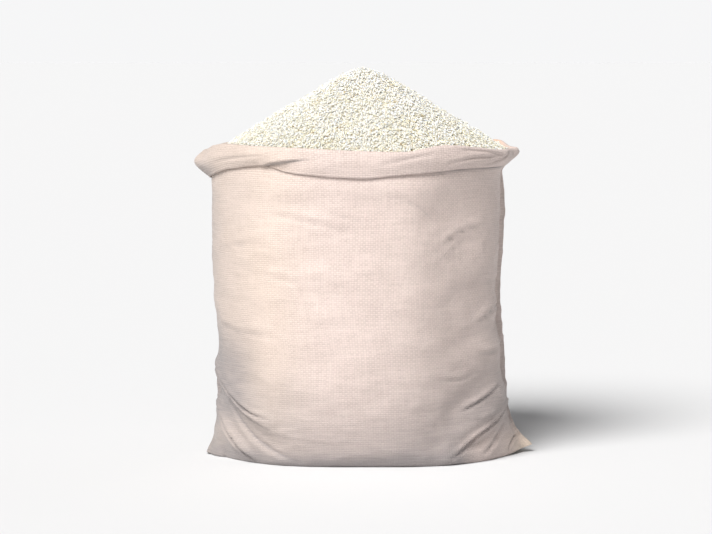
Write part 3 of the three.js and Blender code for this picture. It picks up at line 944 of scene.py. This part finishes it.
def drop_grains(count):
    """Drops the grains one by one. Gives each its kind, centre, bearing, tilt, length and radius."""
    shares, lengths, slenders = np.array([kind[:3] for kind in KINDS.values()]).T
    kinds = chance.choice(len(KINDS), count, p=shares)
    length = lengths[kinds] * chance.normal(1, LENGTH_SPREAD, count)
    slender = slenders[kinds] * chance.normal(1, SLENDER_SPREAD, count)
    radius = length / slender / 2
    inside = np.argwhere(outline_share < EDGE_SHARE)
    picks = inside[chance.integers(0, len(inside), (count, TRIES))]
    downhill = np.arctan2(cell_y[picks[..., 1]] - PEAK[1], cell_x[picks[..., 0]] - PEAK[0])
    bearings = downhill + chance.normal(0, BEARING_SPREAD, (count, TRIES))
    window = np.arange(-WINDOW, WINDOW + 1)
    placed = np.zeros((count, 5))
    for g in range(count):
        best = None
        for k in range(TRIES):
            i, j = picks[g, k]
            c, s = math.cos(bearings[g, k]), math.sin(bearings[g, k])
            reach = FEELERS * length[g]
            ii = np.clip((i + reach * c / CELL).astype(int), 0, map_size[0] - 1)
            jj = np.clip((j + reach * s / CELL).astype(int), 0, map_size[1] - 1)
            under = ground[ii, jj]
            tilt = (under[3] + under[4] - under[0] - under[1]) / (FEELER_RUN * length[g])
            tilt = min(max(tilt, -STEEPEST), STEEPEST)
            centre = (under - tilt * reach).max() + SEAT * radius[g]
            over = centre - outline[i, j]
            if best is None or over < best[0]:
                best = (over, i, j, c, s, tilt, centre, bearings[g, k])
        _, i, j, c, s, tilt, centre, bearing = best
        placed[g] = cell_x[i], cell_y[j], centre, bearing, tilt
        i0, j0 = max(i - WINDOW, 0), max(j - WINDOW, 0)
        i1, j1 = min(i + WINDOW + 1, map_size[0]), min(j + WINDOW + 1, map_size[1])
        dx = (window[i0 - i + WINDOW: i1 - i + WINDOW] * CELL)[:, None]
        dy = (window[j0 - j + WINDOW: j1 - j + WINDOW] * CELL)[None, :]
        forward, sideways = dx * c + dy * s, dy * c - dx * s
        full = 1 - (forward / (length[g] / 2)) ** 2 - (sideways / radius[g]) ** 2
        top = centre + tilt * forward + radius[g] * np.sqrt(np.maximum(full, 0))
        patch = ground[i0:i1, j0:j1]
        np.copyto(patch, np.maximum(patch, top), where=full > 0)
    return kinds, placed, length, radius


kinds, placed, length, radius = drop_grains(GRAINS)

# One grain: rings along its length, slightly flattened, with a pointed tip and a blunt one. A broken
# one is blunter and ends short.
GRAIN_SIDES = 6
GRAIN_RINGS, GRAIN_END = [(-0.36, 0.62), (-0.02, 1.0), (0.33, 0.68)], -0.5
BROKEN_RINGS, BROKEN_END = [(-0.40, 0.80), (-0.02, 1.0), (0.33, 0.70)], -0.44
FLATTEN = (0.68, 0.82)
BEND = 0.05  # of its length


def grain_shape(is_broken):
    """Points of a grain of length 1 and radius 1, and its triangles."""
    rows, end = (BROKEN_RINGS, BROKEN_END) if is_broken else (GRAIN_RINGS, GRAIN_END)
    turn = np.arange(GRAIN_SIDES) / GRAIN_SIDES * 2 * math.pi
    rings = [together(at, size * np.cos(turn), size * np.sin(turn)) for at, size in rows]
    points, faces = capped_rings(np.array(rings), (end, 0, 0), (0.5, 0, 0))
    return points, faces[:, ::-1]


CHALK = 0.7  # how white the belly of a grain gets
ROUGH_SPREAD = 0.18


def rice_grain(name):
    """Polished rice: each grain its own shade, whiter at the belly and clearer at the tips."""
    n = Nodes(bpy.data.materials.new(name))
    clear, body, rough = KINDS[name][3:]
    shade, along, other = n.attribute("grain")
    belly = n.math("SUBTRACT", 1.0, n.math("ABSOLUTE", along))
    own = n.mix(shade, linear(*clear), linear(*body))
    chalk = n.math("MULTIPLY", n.math("MULTIPLY", belly, other), CHALK)
    colour = n.mix(chalk, own, linear(248, 246, 239))
    return n.finish({
        "Base Color": colour, "Roughness": n.between(other, rough, rough + ROUGH_SPREAD),
        "Specular IOR Level": 0.25, "Subsurface Weight": 1.0, "Subsurface Scale": 3.5 * MM,
        "Subsurface Radius": (1.0, 0.9, 0.75)})


def grain_piece(name, kind):
    """Joins the grains of one kind into one piece, each turned, rolled and bent a little."""
    chosen = np.flatnonzero(kinds == kind)
    count = len(chosen)
    shape, faces = grain_shape(name == "broken_grains")
    centre, bearing, tilt = placed[chosen, :3], placed[chosen, 3], placed[chosen, 4]
    flip = chance.choice([-1.0, 1.0], count)
    roll = chance.uniform(0, 2 * math.pi, count)
    squash = chance.uniform(*FLATTEN, count)
    bend = chance.normal(0, BEND, count)
    turned = np.arctan2(shape[:, 2], shape[:, 1]) + roll[:, None]
    size = np.hypot(shape[:, 1], shape[:, 2]) * radius[chosen, None]
    bow = bend[:, None] * length[chosen, None] * (2 * shape[:, 0]) ** 2
    local = together(shape[:, 0] * length[chosen, None] * flip[:, None],
                     size * np.cos(turned) + bow,
                     size * np.sin(turned) * squash[:, None])
    c, s = np.cos(bearing), np.sin(bearing)
    forward = together(c, s, tilt) / np.sqrt(1 + tilt**2)[:, None]
    sideways = together(-s, c, 0)
    axes = np.stack([forward, sideways, np.cross(forward, sideways)], axis=1)
    points = centre[:, None] + local @ axes
    all_faces = (faces + (np.arange(count) * len(shape))[:, None, None]).reshape(-1, 3)
    flipped = np.repeat(flip < 0, len(faces))
    all_faces[flipped] = all_faces[flipped][:, ::-1]
    piece = mesh_object(name, points.reshape(-1, 3), all_faces, rice_grain(name))
    # Grain is darker and yellower in patches and towards the foot of the heap, and whiter towards the peak.
    spot_x, spot_y = centre[:, 0], centre[:, 1]
    patch = 0.5 + 0.3 * np.sin(spot_x / 21 + 2) * np.cos(spot_y / 17)
    patch += 0.2 * np.sin(spot_x / 11 - spot_y / 14)
    whiter_up = smooth_step(centre[:, 2], GRAIN_EDGE["front"], PEAK[2])
    shade = np.clip(0.55 * chance.random(count) + 0.6 * patch - 0.35 + 0.5 * whiter_up, 0, 1)
    add_attribute(piece, "grain", together(shade[:, None], 2 * shape[:, 0], chance.random(count)[:, None]))
    # Each grain has its own square of the flat layout.
    side = math.ceil(math.sqrt(count))
    square = together(np.arange(count) % side, np.arange(count) // side)[:, None]
    spot = together(shape[:, 0] + 0.5, shape[:, 1] / 2.4 + 0.5)
    flat = ((square + 0.08 + 0.84 * spot) / side).reshape(-1, 2)
    add_uv(piece, flat[all_faces])
    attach(piece, "root")


for kind, name in enumerate(KINDS):
    grain_piece(name, kind)

# --------------------------------------------------
# Studio. A pale floor, an even pale surround, one large soft lamp from the upper front left and a
# dim one from behind on the right. The camera looks a little down at the front.
# --------------------------------------------------
FLOOR_HALF = 150000
FLOOR_SHADE = 0.73
# Lamps: power, colour, and in degrees how far up, how far round to the left, and how wide.
LAMPS = {
    "soft_lamp": (4.57, (1.0, 0.985, 0.967), 45, 33, 34),
    "edge_lamp": (0.45, (1.0, 0.99, 0.98), 10, -126, 60),  # keeps the right edge from going dark
}
SURROUND_LIGHT = 0.22
CAMERA_PLACE = (-0.0097, -3.058, 0.498)
CAMERA_DOWN = 4.97  # degrees below level
CAMERA_LENS = 123.4
SENSOR_WIDTH = 36


def floor_paint():
    n = Nodes(bpy.data.materials.new("studio_floor"))
    colour = (0.99 * FLOOR_SHADE, FLOOR_SHADE, 1.015 * FLOOR_SHADE, 1)
    return n.finish({"Base Color": colour, "Roughness": 0.9, "Specular IOR Level": 0.0})


corners = np.array([(-1, -1, 0), (1, -1, 0), (1, 1, 0), (-1, 1, 0)], float)
floor = mesh_object("studio_floor", corners * FLOOR_HALF, np.array([[0, 1, 2, 3]]), floor_paint())
floor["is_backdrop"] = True

floor_light = SURROUND_LIGHT
for name, (power, colour, above, left, spread) in LAMPS.items():
    data = bpy.data.lights.new(name, "SUN")
    data.energy = power
    data.color = colour
    data.angle = math.radians(spread)
    lamp = bpy.data.objects.new(name, data)
    turn = math.radians(left)
    lamp.location = (-math.sin(turn), -math.cos(turn), 1)
    lamp.rotation_euler = (math.radians(90 - above), 0, -turn)
    scene.collection.objects.link(lamp)
    floor_light += power * math.sin(math.radians(above)) / math.pi

# The surround is as bright as the lit floor where it meets it, so that no horizon shows, and fades
# upwards to a dim cool white.
SURROUND_COLOUR = (0.995, 0.995, 1.0, 1)
GLOW = (0.03, 0.10)  # slopes above the horizon between which its glow fades out
scene.world = bpy.data.worlds.new("studio")
n = Nodes(scene.world, "Background")
heading = n.add("ShaderNodeTexCoord").outputs["Generated"]
slope = n.add("ShaderNodeSeparateXYZ", {0: heading}).outputs["Z"]
inputs = {"Value": slope, "From Min": GLOW[0], "From Max": GLOW[1],
          "To Min": FLOOR_SHADE * floor_light, "To Max": SURROUND_LIGHT}
glow = n.add("ShaderNodeMapRange", inputs).outputs["Result"]
n.finish({"Color": SURROUND_COLOUR, "Strength": glow})

camera_data = bpy.data.cameras.new("camera")
camera_data.sensor_width = SENSOR_WIDTH
camera_data.lens = CAMERA_LENS
camera = bpy.data.objects.new("camera", camera_data)
camera.location = CAMERA_PLACE
camera.rotation_euler = (math.radians(90 - CAMERA_DOWN), 0, 0)
scene.collection.objects.link(camera)
scene.camera = camera
scene.view_settings.view_transform = "Standard"

low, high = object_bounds()
